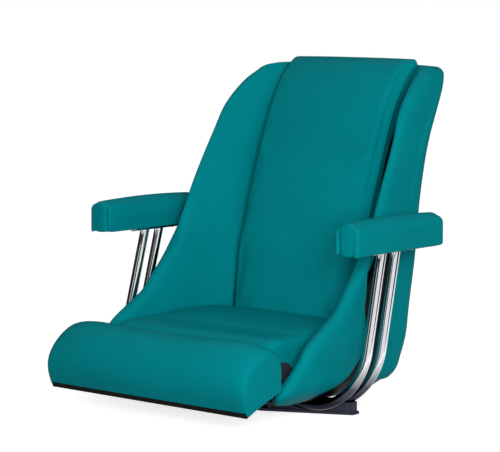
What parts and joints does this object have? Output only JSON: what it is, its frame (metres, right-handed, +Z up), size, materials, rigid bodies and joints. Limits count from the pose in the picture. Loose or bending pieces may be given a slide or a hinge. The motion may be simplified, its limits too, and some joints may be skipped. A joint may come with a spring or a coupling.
{
  "type": "boat helm seat",
  "caption": "Upholstered bucket helm seat on tube hoops that carry padded armrests, with a front bolster that flips up for standing.",
  "frame": {"origin": "centre of the base plate's flat underside, where the seat bolts on a pedestal", "axes": "+Z up, the sitter faces -Y, +X is the sitter's left"},
  "size_m": [0.69, 0.6664, 0.665],
  "materials": {
    "vinyl": "satin",
    "foam": "matte",
    "plywood": "matte",
    "shell": "satin",
    "chrome": "polished",
    "casting": "satin",
    "steel": "satin",
    "nylon": "satin",
    "rubber": "matte"
  },
  "bodies": {
    "seat_frame": {"base_plate": "casting", "mount_bolt_inner_left": "steel", "mount_bolt_inner_right": "steel", "mount_bolt_outer_left": "steel", "mount_bolt_outer_right": "steel", "mount_bolt_rear_left": "steel", "mount_bolt_rear_right": "steel", "hoop_front": "chrome", "hoop_rear": "chrome", "saddle_left": "casting", "saddle_right": "casting", "hoop_clamp_left": "casting", "hoop_clamp_right": "casting", "rear_spacer_left": "casting", "rear_spacer_right": "casting", "bucket_shell": "shell", "seat_plinth": "plywood", "seat_screw_front_left": "steel", "seat_screw_front_right": "steel", "seat_screw_rear_left": "steel", "seat_screw_rear_right": "steel", "seat_board": "plywood", "seat_foam": "foam", "seat_cover": "vinyl", "back_board": "plywood", "back_foam": "foam", "back_cover": "vinyl", "wing_foam_left": "foam", "wing_foam_right": "foam", "wing_cover_left": "vinyl", "wing_cover_right": "vinyl", "rear_panel_board": "shell", "rear_panel_cover": "vinyl", "hinge_bracket_left": "casting", "hinge_bracket_right": "casting", "pivot_pin_left": "casting", "pivot_pin_right": "casting", "bolster_bumper_left": "rubber", "bolster_bumper_right": "rubber", "arm_screw_front_left": "steel", "arm_screw_front_right": "steel", "arm_screw_rear_left": "steel", "arm_screw_rear_right": "steel", "arm_plate_left": "chrome", "arm_plate_right": "chrome", "arm_board_left": "plywood", "arm_board_right": "plywood", "arm_foam_left": "foam", "arm_foam_right": "foam", "arm_cover_left": "vinyl", "arm_cover_right": "vinyl"},
    "bolster": {"bolster_board": "shell", "bolster_foam": "foam", "bolster_cover": "vinyl", "bolster_arm_left": "casting", "bolster_arm_right": "casting", "pivot_bush_left": "nylon", "pivot_bush_right": "nylon"}
  },
  "joints": [
    {"name": "bolster_hinge", "type": "hinge", "parent": "seat_frame", "child": "bolster", "pos_m": [0, -0.175, 0.097], "axis": [-1, 0, 0], "range_deg": [0, 90]}
  ]
}
